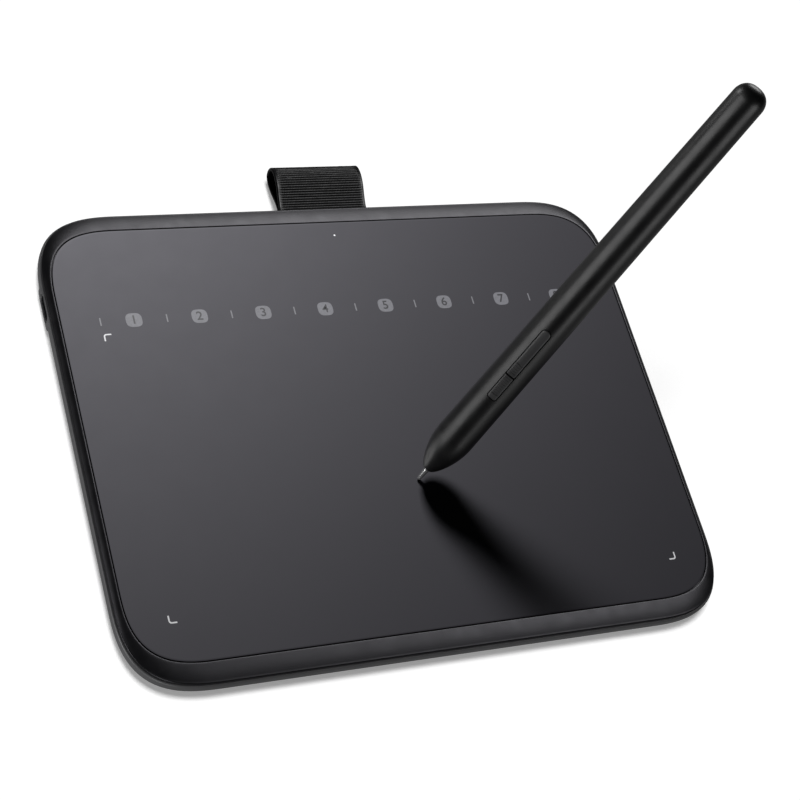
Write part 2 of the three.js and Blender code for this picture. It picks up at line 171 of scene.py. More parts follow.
def smooth(piece, sharp_degrees=32):
    mesh = piece.data
    mesh.shade_smooth()
    mesh.set_sharp_from_angle(angle=math.radians(sharp_degrees))


def boolean(piece, cutters, operation="DIFFERENCE"):
    """Cuts or joins the cutters with the piece, applies it, and removes the cutters."""
    for cutter in cutters:
        modifier = piece.modifiers.new("cut", "BOOLEAN")
        modifier.operation = operation
        modifier.solver = "EXACT"
        modifier.object = cutter
    depsgraph = bpy.context.evaluated_depsgraph_get()
    result = bpy.data.meshes.new_from_object(piece.evaluated_get(depsgraph))
    piece.modifiers.clear()
    old, piece.data = piece.data, result
    result.name = piece.name
    bpy.data.meshes.remove(old)
    for cutter in cutters:
        remove(cutter)


def remove(piece):
    mesh = piece.data
    bpy.data.objects.remove(piece)
    bpy.data.meshes.remove(mesh)


def join_pieces(name, parts):
    """One object made of several separate shells."""
    bm = bmesh.new()
    for part in parts:
        bm.from_mesh(part.data)
    mesh = bpy.data.meshes.new(name)
    bm.to_mesh(mesh)
    bm.free()
    for part in parts:
        remove(part)
    return add_object(name, mesh)


def dress(piece, material, slot, body, *nodes, sharp=32):
    """Shades the piece, gives it its material, and ties it to its CAD body and nodes. The slot argument is
    not used.
    """
    smooth(piece, sharp)
    piece.data.materials.clear()
    piece.data.materials.append(material)
    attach(piece, body)
    if nodes:
        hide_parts(*nodes)


def arc_profile(centre, radii, start, end, steps):
    """Points of an elliptical arc, angles in degrees from the first axis."""
    angles = np.radians(np.linspace(start, end, steps + 1))
    return [(centre[0] + radii[0] * math.cos(a), centre[1] + radii[1] * math.sin(a)) for a in angles]


WELD = 0.002


def turned_rings(profile, segments, centre=(0, 0)):
    turn = np.linspace(0, 2 * math.pi, segments, endpoint=False)
    return [
        at_height(np.column_stack([centre[0] + r * np.cos(turn), centre[1] + r * np.sin(turn)]), z)
        for r, z in profile
    ]


def turned(name, profile, segments, centre=(0, 0)):
    """A solid of revolution about Z through centre, from (radius, z) points."""
    return loft(name, turned_rings(profile, segments, centre), merge_mm=WELD)


def prism(name, outline, low, high, fillet=0.0, steps=4):
    """An upright plate of the outline. fillet rounds both rims by moving towards the outline's middle."""
    outline = np.asarray(outline, dtype=float)
    middle = outline.mean(axis=0)
    extent = np.abs(outline - middle).max(axis=0)

    def shrunk(inset):
        return middle + (outline - middle) * (1 - inset / extent)

    if not fillet:
        return loft(name, [at_height(outline, low), at_height(outline, high)])
    border = fillet * 1.3
    turns = [i / steps * math.pi / 2 for i in range(steps + 1)]
    rings = [at_height(shrunk(border), low)]
    for a in turns:
        rings.append(at_height(shrunk(fillet * (1 - math.sin(a))), low + fillet * (1 - math.cos(a))))
    for a in turns:
        rings.append(at_height(shrunk(fillet * (1 - math.cos(a))), high - fillet * (1 - math.sin(a))))
    rings.append(at_height(shrunk(border), high))
    return loft(name, rings)


def stadium(length, width, centre=(0, 0), steps=12, radius=None):
    """A rectangle with round corners, long along the first axis."""
    radius = width / 2 if radius is None else radius
    points = []
    for corner, (sx, sy) in enumerate(SIGNS):
        middle = (centre[0] + sx * (length / 2 - radius), centre[1] + sy * (width / 2 - radius))
        points += arc_profile(middle, (radius, radius), corner * 90, corner * 90 + 90, steps)
    return np.array(points)


# ------------------------ materials


# a wave texture of scale 1 repeats every pi / 10
WAVE_SCALE = math.pi / 10


class Finish:
    """A Principled material with helpers for procedural detail in millimetres of the object's own space."""

    def __init__(self, name, color, roughness, metallic=0.0, specular=0.5, **constants):
        self.material = bpy.data.materials.new(name)
        self.material.use_nodes = True
        self.nodes = self.material.node_tree.nodes
        self.links = self.material.node_tree.links
        self.shader = self.nodes["Principled BSDF"]
        self.set("Base Color", (*color, 1.0))
        self.set("Roughness", roughness)
        self.set("Metallic", metallic)
        self.set("Specular IOR Level", specular)
        for socket, value in constants.items():
            self.set(socket.replace("_", " "), value)
        self.place = self.nodes.new("ShaderNodeTexCoord").outputs["Object"]
        self.height = None

    def set(self, socket, value):
        self.shader.inputs[socket].default_value = value

    def noise(self, size_mm, detail=4.0, roughness=0.6, stretch=(1, 1, 1)):
        node = self.nodes.new("ShaderNodeTexNoise")
        node.inputs["Scale"].default_value = 1 / (size_mm * MM)
        node.inputs["Detail"].default_value = detail
        node.inputs["Roughness"].default_value = roughness
        self.links.new(self.stretched(stretch), node.inputs["Vector"])
        return node.outputs["Fac"]

    def cells(self, size_mm):
        node = self.nodes.new("ShaderNodeTexVoronoi")
        node.inputs["Scale"].default_value = 1 / (size_mm * MM)
        self.links.new(self.place, node.inputs["Vector"])
        return node.outputs["Distance"]

    def waves(self, pitch_mm, direction="X", distortion=0.0):
        node = self.nodes.new("ShaderNodeTexWave")
        node.bands_direction = direction
        node.inputs["Scale"].default_value = WAVE_SCALE / (pitch_mm * MM)
        node.inputs["Distortion"].default_value = distortion
        node.inputs["Detail"].default_value = 1.0
        self.links.new(self.place, node.inputs["Vector"])
        return node.outputs["Fac"]

    def stretched(self, factors):
        if factors == (1, 1, 1):
            return self.place
        node = self.nodes.new("ShaderNodeMapping")
        node.inputs["Scale"].default_value = factors
        self.links.new(self.place, node.inputs["Vector"])
        return node.outputs["Vector"]

    def ramp(self, factor, stops):
        node = self.nodes.new("ShaderNodeValToRGB")
        node.color_ramp.elements[0].position = stops[0][0]
        node.color_ramp.elements[0].color = (*stops[0][1], 1)
        node.color_ramp.elements[1].position = stops[-1][0]
        node.color_ramp.elements[1].color = (*stops[-1][1], 1)
        for position, color in stops[1:-1]:
            node.color_ramp.elements.new(position).color = (*color, 1)
        self.links.new(factor, node.inputs["Fac"])
        return node.outputs["Color"]

    def paint(self, factor, stops):
        self.links.new(self.ramp(factor, stops), self.shader.inputs["Base Color"])

    def scaled(self, factor, low, high):
        """Spreads the middle half of a noise over low to high."""
        node = self.nodes.new("ShaderNodeMapRange")
        node.inputs["To Min"].default_value = low
        node.inputs["To Max"].default_value = high
        node.inputs["From Min"].default_value = 0.25
        node.inputs["From Max"].default_value = 0.75
        self.links.new(factor, node.inputs["Value"])
        return node.outputs["Result"]

    def polish(self, factor, low, high):
        self.links.new(self.scaled(factor, low, high), self.shader.inputs["Roughness"])

    def emboss(self, factor, depth_mm, strength=1.0):
        """Adds one layer of bump of that depth."""
        node = self.nodes.new("ShaderNodeBump")
        node.inputs["Distance"].default_value = depth_mm * MM
        node.inputs["Strength"].default_value = strength
        self.links.new(factor, node.inputs["Height"])
        if self.height is not None:
            self.links.new(self.height, node.inputs["Normal"])
        self.height = node.outputs["Normal"]
        self.links.new(self.height, self.shader.inputs["Normal"])


def tinted(color, factor):
    return tuple(min(1.0, c * factor) for c in color)


def moulded(name, color, roughness, grain_mm=0.35, grain_depth=0.012, vary=0.12, specular=0.5, **constants):
    """Moulded plastic: a spark-eroded grain, slight mottling and uneven polish."""
    finish = Finish(name, color, roughness, specular=specular, **constants)
    mottle = finish.noise(14, 3)
    finish.paint(mottle, [(0.3, tinted(color, 1 - vary)), (0.7, tinted(color, 1 + vary))])
    finish.polish(finish.noise(5, 4), roughness - 0.05, roughness + 0.05)
    finish.emboss(finish.noise(grain_mm, 3, 0.7), grain_depth)
    return finish.material


# the sheet's paper-like tooth, in millimetres
TOOTH = 0.28
TOOTH_DEPTH = 0.006


def drawing_sheet():
    """A hard matt sheet with a paper-like tooth, very slightly violet."""
    color = (0.0145, 0.014, 0.017)
    finish = Finish("sheet_plastic", color, 0.6, specular=0.53)
    finish.set("Specular Tint", (0.93, 0.915, 1.0, 1.0))
    finish.paint(finish.noise(40, 2), [(0.3, tinted(color, 0.97)), (0.7, tinted(color, 1.03))])
    finish.polish(finish.noise(9, 3), 0.592, 0.608)
    finish.emboss(finish.cells(TOOTH), TOOTH_DEPTH)
    finish.emboss(finish.noise(0.12, 2, 0.8), 0.004)
    return finish.material


def webbing():
    """Elastic webbing: warp threads across the ribs, fuzz and a dull sheen. Its colour is painted shade in
    the grooves between the ribs and a painted sheen on their crests, with a thread tone that varies at
    random.
    """
    finish = Finish("webbing", (0.01, 0.01, 0.011), 0.43, Sheen_Weight=0.04, Sheen_Roughness=0.3)
    # painted shade and sheen: the rib attribute paints the grooves between the ribs near black and their
    # crests lighter
    crest = finish.nodes.new("ShaderNodeAttribute")
    crest.attribute_name = "crest"
    finish.paint(
        crest.outputs["Fac"],
        [(0.35, (0.0015, 0.0015, 0.0016)), (0.8, (0.006, 0.006, 0.0065)), (1.0, (0.024, 0.024, 0.026))],
    )
    finish.emboss(finish.waves(0.55, "X", 0.6), 0.06, 0.8)
    finish.emboss(finish.noise(0.18, 3, 0.8), 0.03, 0.7)
    return finish.material


def rubber():
    """Matt rubber with a pitted skin."""
    finish = Finish("foot_rubber", (0.014, 0.014, 0.015), 0.8, specular=0.3)
    finish.paint(finish.noise(1.2, 4), [(0.3, (0.01, 0.01, 0.011)), (0.7, (0.022, 0.022, 0.023))])
    finish.emboss(finish.cells(0.5), 0.03)
    finish.emboss(finish.noise(0.2, 4, 0.8), 0.01)
    return finish.material


def metal(name, color, roughness, grain=(1, 1, 14), vary=0.1):
    """Rolled or turned metal, with its grain drawn out along one axis."""
    finish = Finish(name, color, roughness, metallic=1.0)
    streaks = finish.noise(2.2, 5, 0.7, stretch=grain)
    finish.paint(streaks, [(0.3, tinted(color, 1 - vary)), (0.7, tinted(color, 1 + vary))])
    finish.polish(streaks, roughness - 0.07, roughness + 0.1)
    finish.emboss(streaks, 0.004)
    return finish.material


def circuit_board():
    """Green solder mask over copper tracks, with pale print and gold pads."""
    mask = (0.008, 0.062, 0.026)
    track = (0.012, 0.085, 0.036)
    gold, worn_gold = (0.55, 0.42, 0.14), (0.5, 0.38, 0.12)
    finish = Finish("circuit_board", mask, 0.35, Coat_Weight=0.3)
    finish.paint(
        finish.cells(3.1),
        [(0.0, gold), (0.07, worn_gold), (0.1, mask), (0.42, track), (0.5, mask)],
    )
    finish.emboss(finish.waves(1.27, "X"), 0.02, 0.5)
    finish.emboss(finish.noise(0.4, 3), 0.006)
    return finish.material


def polyimide():
    """Amber film with copper tracks showing through."""
    finish = Finish("flex_film", (0.5, 0.27, 0.06), 0.3, Coat_Weight=0.4)
    finish.paint(finish.waves(1.0, "X"), [(0.35, (0.42, 0.2, 0.04)), (0.65, (0.62, 0.38, 0.12))])
    finish.emboss(finish.waves(1.0, "X"), 0.03, 0.6)
    return finish.material


def winding():
    """Enamelled copper wire, close wound, with painted shade darkening the grooves between its turns."""
    finish = Finish("copper_wire", (0.55, 0.2, 0.08), 0.3, metallic=1.0)
    turns = finish.waves(0.3, "Z", 0.2)
    # painted shade: the colour darkens where the wave is low, in the grooves between the turns
    finish.paint(turns, [(0.2, (0.25, 0.08, 0.03)), (0.6, (0.6, 0.24, 0.1))])
    finish.emboss(turns, 0.08, 0.9)
    return finish.material


def milky():
    """Milky plastic, faintly lit from inside."""
    finish = Finish("clear_plastic", (0.9, 0.9, 0.92), 0.25, Emission_Strength=0.35)
    finish.set("Emission Color", (1, 1, 1, 1))
    finish.paint(finish.noise(0.8, 3), [(0.3, (0.82, 0.82, 0.85)), (0.7, (0.95, 0.95, 0.97))])
    finish.emboss(finish.noise(0.3, 2), 0.004)
    return finish.material


def ink(name, color):
    """Screen print: a thin layer, faintly uneven, over the sheet's tooth."""
    finish = Finish(name, color, 0.55, specular=0.4)
    finish.paint(finish.noise(0.6, 4), [(0.25, tinted(color, 0.82)), (0.75, tinted(color, 1.1))])
    finish.emboss(finish.cells(TOOTH), TOOTH_DEPTH)
    return finish.material


VIOLET_GLOSS = (0.94, 0.925, 1.0, 1.0)
MATERIALS = {
    "shell_plastic": moulded(
        "shell_plastic", (0.0035, 0.0035, 0.004), 0.34, 0.3, 0.0025, specular=0.4, Specular_Tint=VIOLET_GLOSS
    ),
    # painted light: a lighter copy of the black shell plastic, for the lower shell, stands in for the light
    # that its rounded side catches
    "base_plastic": moulded("base_plastic", (0.085, 0.085, 0.088), 0.45, 0.3, 0.008, vary=0.05),
    "sheet_plastic": drawing_sheet(),
    "webbing": webbing(),
    "foot_rubber": rubber(),
    "screw_steel": metal("screw_steel", (0.42, 0.43, 0.44), 0.32),
    "shield_metal": metal("shield_metal", (0.6, 0.61, 0.62), 0.35, (1, 12, 1)),
    "circuit_board": circuit_board(),
    "chip_plastic": moulded("chip_plastic", (0.018, 0.018, 0.02), 0.55, 0.15, 0.01),
    "connector_plastic": moulded("connector_plastic", (0.022, 0.022, 0.024), 0.5, 0.25, 0.01),
    "flex_film": polyimide(),
    "clear_plastic": milky(),
    "ferrite": moulded("ferrite", (0.035, 0.032, 0.03), 0.7, 0.2, 0.03, vary=0.3),
    "copper_wire": winding(),
    "pen_plastic": moulded(
        "pen_plastic", (0.0035, 0.0035, 0.0037), 0.36, 0.22, 0.002, vary=0.08, specular=0.42
    ),
    "button_plastic": moulded("button_plastic", (0.03, 0.03, 0.031), 0.48, 0.2, 0.004, vary=0.08),
    "nib_plastic": moulded(
        "nib_plastic", (0.08, 0.08, 0.082), 0.12, 0.3, 0.001, vary=0.05, specular=1.0, Coat_Weight=1.0
    ),
}
RIM_FINISH = moulded("rim_polish", (0.01, 0.01, 0.0108), 0.16, 0.3, 0.001, specular=1.0)
PRINTS = {
    "badge": ink("print_badge", (0.16, 0.16, 0.178)),
    "digit": ink("print_digit", (0.03, 0.03, 0.034)),
    "tick": ink("print_tick", (0.17, 0.17, 0.185)),
    "mark": ink("print_mark", (0.7, 0.7, 0.72)),
}


# ------------------------ tablet: covers and sheet

GROOVE = 0.2
POCKET_DEPTH = 0.8
RIM_RADIUS = 0.25
RIM_LAND = 0.28
RIM_SINK = 0.03
RIM_SLOT = 1
BEVEL_FILLET = 0.09
BEVEL_EDGE = 0.34
BEVEL_CROWN = 0.4
HEM = 0.4
# inset and rise of each ring from under the cover round its lower edge
HEM_STEPS = ((6, 0), (1.5, 0), (0.1, 0), (0.02, 0.03), (0, 0.1))


def bevel_curve():
    """Shares of the way in and up from the cover's side to its rim: a round edge, then a flattish bevel."""
    turns = np.linspace(0, QUARTER, 9)[:-1]
    points = [(BEVEL_FILLET * (1 - math.cos(a)), BEVEL_EDGE * math.sin(a)) for a in turns]
    for x in np.linspace(BEVEL_FILLET, 1, 16):
        share = (x - BEVEL_FILLET) / (1 - BEVEL_FILLET)
        crowned = share * (1 + BEVEL_CROWN - BEVEL_CROWN * share)
        points.append((x, BEVEL_EDGE + (1 - BEVEL_EDGE) * crowned))
    return points


def cover_side(inset=0.0):
    return squircle(*COVER_HALF, COVER_RADIUS, inset)


def beside_sheet(gap):
    return squircle(*(SHEET_HALF + gap), SHEET_RADIUS + gap)


def sheet_edge(inset=0.0):
    return squircle(*SHEET_HALF, SHEET_RADIUS, inset)


def top_cover():
    """A plate with a bevelled bezel, a polished rim by the groove and a shallow pocket for the sheet."""
    outer = cover_side()
    inner = beside_sheet(GROOVE + RIM_RADIUS + RIM_LAND)
    drop = SURFACE_Z - RIM_SINK - PARTING_Z - HEM
    pocket_z = SURFACE_Z - POCKET_DEPTH
    rings = [at_height(cover_side(inset), PARTING_Z + rise) for inset, rise in HEM_STEPS]
    for across, rise in bevel_curve():
        rings.append(at_height(outer + (inner - outer) * across, PARTING_Z + HEM + drop * rise))
    rim_start = len(rings) - 1
    for angle in np.radians(np.linspace(0, 90, 7)):
        gap = GROOVE + RIM_RADIUS * (1 - math.sin(angle))
        rings.append(at_height(beside_sheet(gap), SURFACE_Z - RIM_RADIUS * (1 - math.cos(angle))))
    rim_end = len(rings) - 1
    rings += [at_height(beside_sheet(GROOVE), pocket_z), at_height(sheet_edge(2), pocket_z)]
    piece = loft("bezel_cover", rings)
    count = len(outer)
    for face in piece.data.polygons[rim_start * count:rim_end * count]:
        face.material_index = RIM_SLOT
    # the cut keeps a face's second material only if both are there, and dress() leaves only the first
    piece.data.materials.append(MATERIALS["shell_plastic"])
    piece.data.materials.append(RIM_FINISH)
    boolean(piece, [light_hole()])
    dress(piece, MATERIALS["shell_plastic"], "shell_plastic", TABLET, "top_cover", sharp=28)
    piece.data.materials.append(RIM_FINISH)


SHEET_EDGE = 0.12


def drawing_surface():
    """The sheet, with a fine round over its edge."""
    top, bottom = SHEET_HIGH[2], SHEET_LOW[2]
    rings = [at_height(sheet_edge(0.5), bottom), at_height(sheet_edge(), bottom)]
    for angle in np.radians([0, 30, 60, 90]):
        inset = SHEET_EDGE * (1 - math.cos(angle))
        rings.append(at_height(sheet_edge(inset), top - SHEET_EDGE * (1 - math.sin(angle))))
    rings.append(at_height(sheet_edge(0.6), top))
    piece = loft("drawing_sheet", rings)
    boolean(piece, [light_hole()])
    dress(piece, MATERIALS["sheet_plastic"], "sheet_plastic", TABLET, "drawing_surface", sharp=40)


LIGHT_RADIUS = 0.3
LIGHT_GAP = 0.06


def light_hole():
    x, y, _ = middle_mm("light_pipe")
    radius = LIGHT_RADIUS + LIGHT_GAP
    low, high = 5, SURFACE_Z + 1
    return turned("hole", [(0, low), (radius, low), (radius, high), (0, high)], 40, (x, y))


SHELL_WALL = 1.6
SHELL_FLOOR = 1.0
# reach in or out, and height, of the curves on the shell's section
SHOULDER = (0.6, 0.9)
UNDERSIDE = (5.0, 3.9)
COVE = (3.4, 2.4)


def bottom_cover():
    """The lower shell: a pale shoulder under the parting line, and a side that curls under to the base. Its
    paleness is painted light, a lighter copy of the cover's black plastic.
    """
    def ring(inset, z):
        return at_height(squircle(*SHELL_HALF, SHELL_RADIUS, inset), z)

    inside_z = SHELL_BOTTOM + SHELL_FLOOR
    turns = np.linspace(0, QUARTER, 9)
    rings = [ring(8, inside_z), ring(5.4, inside_z)]
    for a in turns:
        inset = SHELL_WALL + COVE[0] - COVE[0] * math.sin(a)
        rings.append(ring(inset, inside_z + COVE[1] * (1 - math.cos(a))))
    rings += [ring(SHELL_WALL, SHELL_TOP - 0.05), ring(SHELL_WALL - 0.05, SHELL_TOP)]
    rings.append(ring(SHOULDER[0] + 0.15, SHELL_TOP))
    for a in turns:
        rings.append(ring(SHOULDER[0] * (1 - math.sin(a)), SHELL_TOP - SHOULDER[1] * (1 - math.cos(a))))
    for a in np.linspace(0, QUARTER, 15):
        rings.append(ring(UNDERSIDE[0] * (1 - math.cos(a)), SHELL_BOTTOM + UNDERSIDE[1] * (1 - math.sin(a))))
    rings.append(ring(UNDERSIDE[0] + 0.6, SHELL_BOTTOM))
    piece = loft("lower_shell", rings)
    boolean(piece, [port_collar()], "UNION")
    boolean(piece, [port_window(), loop_window()] + foot_pockets() + screw_pockets())
    # painted light: the lower shell wears the lighter copy of the shell plastic
    dress(piece, MATERIALS["base_plastic"], "shell_plastic", TABLET, "bottom_cover", sharp=28)


COLLAR_LENGTH = 14.4
COLLAR_BOTTOM = 2.2
COLLAR_CORNER = 1.6
FACE_X = SHELL_LOW[0]
# inset of the collar's edge, growth of the window, and how far behind the shell's face, at each ring
COLLAR_STEPS = ((0.0, 4), (0.0, 0.35), (0.1, 0.12), (0.35, 0))
WINDOW_STEPS = ((0.6, -1), (0.55, -0.01), (0.2, 0.35), (0.2, 9))


def side_face_ring(outline, x):
    """An outline in the YZ plane at that x."""
    return np.column_stack([np.full(len(outline), float(x)), outline])


def port_collar():
    """The flat boss on the left side that carries the socket's opening."""
    middle = middle_mm("usb_shell")
    top = SHELL_TOP - 0.2
    height = top - COLLAR_BOTTOM
    z = COLLAR_BOTTOM + height / 2
    rings = []
    for inset, depth in COLLAR_STEPS:
        size = (COLLAR_LENGTH - 2 * inset, height - 2 * inset)
        outline = stadium(*size, (middle[1], z), 10, COLLAR_CORNER - inset)
        rings.append(side_face_ring(outline, FACE_X + depth))
    return loft("collar", rings)


def port_window():
    """The opening round the socket, wider at its mouth."""
    middle = middle_mm("usb_shell")
    rings = []
    for grow, depth in WINDOW_STEPS:
        size = (PORT_HIGH - PORT_LOW)[1:] + grow
        rings.append(side_face_ring(stadium(*size, middle[1:], 10), FACE_X + depth))
    return loft("window", rings)


LOOP_GAP = 0.3
LOOP_SLOT_BOTTOM = 3.7


def loop_window():
    """The slot in the back wall that the strap goes in through."""
    low = np.array([LOOP_LOW[0] - LOOP_GAP, SHELL_HIGH[1] - 9])
    high = np.array([LOOP_HIGH[0] + LOOP_GAP, SHELL_HIGH[1] + 3])
    outline = stadium(*(high - low), (low + high) / 2, 6, 0.6)
    return loft("slot", [at_height(outline, LOOP_SLOT_BOTTOM), at_height(outline, SHELL_TOP + 1)])


FEET = [f"foot_{side}" for side in ("left_front", "right_front", "left_rear", "right_rear")]
CASE_SCREWS = [f"case_screw_{i}" for i in range(1, 8)]
POCKET_RADIUS = 2.2
POCKET_CHAMFER = 0.3
POCKET_TOP = SHELL_BOTTOM + 0.95
HEAD_RADIUS = 1.8
HEAD_HEIGHT = 0.8
THREAD_PITCH = 0.4


def foot_pockets():
    pockets = []
    for node in FEET:
        low, high = box_mm(node)
        size = (high - low)[:2] + 0.4
        outline = stadium(*size, middle_mm(node)[:2], 16)
        pockets.append(loft("pocket", [at_height(outline, 0), at_height(outline, SHELL_BOTTOM + 0.5)]))
    return pockets


def screw_pockets():
    pockets = []
    for node in CASE_SCREWS:
        x, y, _ = middle_mm(node)
        mouth = POCKET_RADIUS + POCKET_CHAMFER
        profile = [
            (0, 0), (mouth, 0), (mouth, SHELL_BOTTOM), (POCKET_RADIUS, SHELL_BOTTOM + POCKET_CHAMFER),
            (POCKET_RADIUS, POCKET_TOP), (0, POCKET_TOP),
        ]
        pockets.append(turned("counterbore", profile, 40, (x, y)))
    return pockets


def feet():
    for node in FEET:
        low, high = box_mm(node)
        outline = stadium(*(high - low)[:2], middle_mm(node)[:2], 20)
        piece = prism(node + "_pad", outline, low[2], high[2], 0.25, 5)
        dress(piece, MATERIALS["foot_rubber"], "foot_rubber", TABLET, node, sharp=50)


def case_screws():
    """Pan heads with a cross recess, on plain shanks."""
    for node in CASE_SCREWS:
        low, high = box_mm(node)
        x, y, _ = middle_mm(node)
        base = low[2]
        profile = [
            (0, base), (1.2, base), (1.55, base + 0.08), (1.75, base + 0.28), (HEAD_RADIUS, base + 0.5),
            (HEAD_RADIUS, base + HEAD_HEIGHT), (HEAD_RADIUS / 2, base + HEAD_HEIGHT),
        ]
        for thread in np.arange(base + 1.1, high[2] - 0.3, THREAD_PITCH):
            profile += [(0.78, thread), (0.92, thread + 0.18)]
        profile += [(0.7, high[2] - 0.1), (0, high[2])]
        piece = turned(node + "_fine", profile, 40, (x, y))
        boolean(piece, [cross_blade(x, y, base, degrees) for degrees in (20, 110)])
        dress(piece, MATERIALS["screw_steel"], "screw_steel", TABLET, node)


def cross_blade(x, y, base, degrees):
    """One arm of a screw's cross recess."""
    angle = math.radians(degrees)
    along = np.array([math.cos(angle), math.sin(angle)])
    side = np.array([-along[1], along[0]])
    corners = ((-1.0, -0.2), (1.0, -0.2), (1.0, 0.2), (-1.0, 0.2))
    blade = np.array([x, y]) + np.array([along * a + side * b for a, b in corners])
    return loft("blade", [at_height(blade, base - 0.5), at_height(blade, base + 0.45)])


# ------------------------ tablet: socket, light, print


PORT_WALL = 0.3
TONGUE = (6.6, 0.35)
ROOT = (1.7, 7.2)
TONGUE_GAP = 0.7
CONTACTS = 12
CONTACT_PITCH = 0.5
CONTACT_SIZE = (3.6, 0.24)


def usb_socket():
    """A drawn steel shell with a rolled mouth, and a tongue with its contacts."""
    middle = middle_mm("usb_shell")
    size = (PORT_HIGH - PORT_LOW)[1:]
    mouth, back = PORT_LOW[0], PORT_HIGH[0]
    rings = []
    for inset, x in (
        (0.0, back), (0.0, mouth + 0.12), (0.05, mouth + 0.03), (0.12, mouth), (0.2, mouth),
        (PORT_WALL - 0.02, mouth + 0.06), (PORT_WALL, mouth + 0.2), (PORT_WALL, back - 0.3),
    ):
        rings.append(side_face_ring(stadium(*(size - 2 * inset), middle[1:], 14), x))
    shell = loft("socket_shell", rings)
    dress(shell, MATERIALS["screw_steel"], "screw_steel", TABLET, "usb_shell")

    low, high = box_mm("usb_tongue")
    width, half = TONGUE
    tip, end = low[0], high[0] - TONGUE_GAP
    outline = stadium(end - tip, width, ((tip + end) / 2, middle[1]), 6, 0.35)
    blade = prism("tongue", outline, middle[2] - half, middle[2] + half, 0.1, 3)
    outline = stadium(*ROOT, (high[0] - ROOT[0] / 2, middle[1]), 6, 0.3)
    block = prism("root", outline, low[2], high[2], 0.12, 3)
    tongue = join_pieces("socket_tongue", [blade, block])
    dress(tongue, MATERIALS["connector_plastic"], "connector_plastic", TABLET, "usb_tongue")

    contacts = []
    for side in (-1, 1):
        for i in range(CONTACTS):
            y = middle[1] + (i - (CONTACTS - 1) / 2) * CONTACT_PITCH
            z = middle[2] + side * 0.36
            outline = stadium(*CONTACT_SIZE, (tip + 2.4, y), 3, 0.08)
            contacts.append(prism("contact", outline, z - 0.03, z + 0.03))
    pads = join_pieces("socket_contacts", contacts)
    dress(pads, metal("contact_gold", (0.7, 0.52, 0.22), 0.25), "screw_steel", TABLET)


def status_light():
    """A milky lens on a wide flange that sits under the cover."""
    low, high = box_mm("light_pipe")
    x, y, _ = middle_mm("light_pipe")
    base, top = low[2], high[2]
    profile = [
        (0, base), (1.3, base), (1.4, base + 0.1), (1.4, base + 0.7), (1.3, base + 0.8),
        (LIGHT_RADIUS, base + 0.8), (LIGHT_RADIUS, top - 0.1), (LIGHT_RADIUS - 0.06, top - 0.03),
        (LIGHT_RADIUS - 0.18, top - 0.01), (0, top),
    ]
    piece = turned("status_lens", profile, 48, (x, y))
    dress(piece, MATERIALS["clear_plastic"], "clear_plastic", TABLET, "light_pipe")


ACTIVE_HALF = np.array([81.28, 45.72])
ACTIVE_OFFSET_Y = -11.75
KEY_COUNT = 8
KEY_ROW_Y = 38.1
KEY_PITCH = 2 * ACTIVE_HALF[0] / KEY_COUNT
TICK_SIZE = (0.42, 2.7)
BADGE_HALF = (2.5, 2.35)
DIGIT_SIZE = 4.1
# how far a numeral's strokes are thickened, less for the 4 so that its eye stays open
DIGIT_WEIGHT = 0.06
FOUR_WEIGHT = 0.02
INK = 0.02


def on_sheet(outline):
    """A thin layer of ink; the outline is measured from the sheet's centre."""
    placed = np.asarray(outline) + CENTRE[:2]
    return loft("print", [at_height(placed, SURFACE_Z), at_height(placed, SURFACE_Z + INK)])


def corner_marks():
    """Four rounded angles at the corners of the drawing area."""
    arm, stroke, radius = 2.4, 0.44, 0.9
    middle = (radius, radius)
    inner = (radius - stroke, radius - stroke)
    outside = [(arm, 0), *arc_profile(middle, middle, 270, 180, 8), (0, arm)]
    inside = [(stroke, arm), *arc_profile(middle, inner, 180, 270, 8), (arm, stroke)]
    shape = np.array(outside + inside)
    marks = []
    for sx, sy in ((-1, 1), (1, 1), (-1, -1), (1, -1)):
        corner = np.array([sx, sy]) * ACTIVE_HALF + (0, ACTIVE_OFFSET_Y)
        marks.append(on_sheet(corner - np.array([sx, sy]) * shape))
    dress(join_pieces("print_corner_marks", marks), PRINTS["mark"], "sheet_plastic", TABLET)


def key_row():
    """Nine ticks with a numbered badge between each pair."""
    edges = [i * KEY_PITCH - ACTIVE_HALF[0] for i in range(KEY_COUNT + 1)]
    ticks = [on_sheet(stadium(*TICK_SIZE, (x, KEY_ROW_Y), 3, 0.1)) for x in edges]
    dress(join_pieces("print_ticks", ticks), PRINTS["tick"], "sheet_plastic", TABLET)

    places = [(i + 0.5) * KEY_PITCH - ACTIVE_HALF[0] for i in range(KEY_COUNT)]
    badges = [on_sheet(badge_outline(x, KEY_ROW_Y)) for x in places]
    dress(join_pieces("print_badges", badges), PRINTS["badge"], "sheet_plastic", TABLET)

    digits = [digit(i + 1, x, KEY_ROW_Y) for i, x in enumerate(places)]
    dress(join_pieces("print_digits", digits), PRINTS["digit"], "sheet_plastic", TABLET)


def badge_outline(x, y):
    """A small squircle."""
    phi = np.linspace(0, 2 * math.pi, 48, endpoint=False)
    reach = (np.abs(np.cos(phi)) ** CORNER_POWER + np.abs(np.sin(phi)) ** CORNER_POWER) ** (-1 / CORNER_POWER)
    return np.column_stack([x + BADGE_HALF[0] * np.cos(phi) * reach, y + BADGE_HALF[1] * np.sin(phi) * reach])


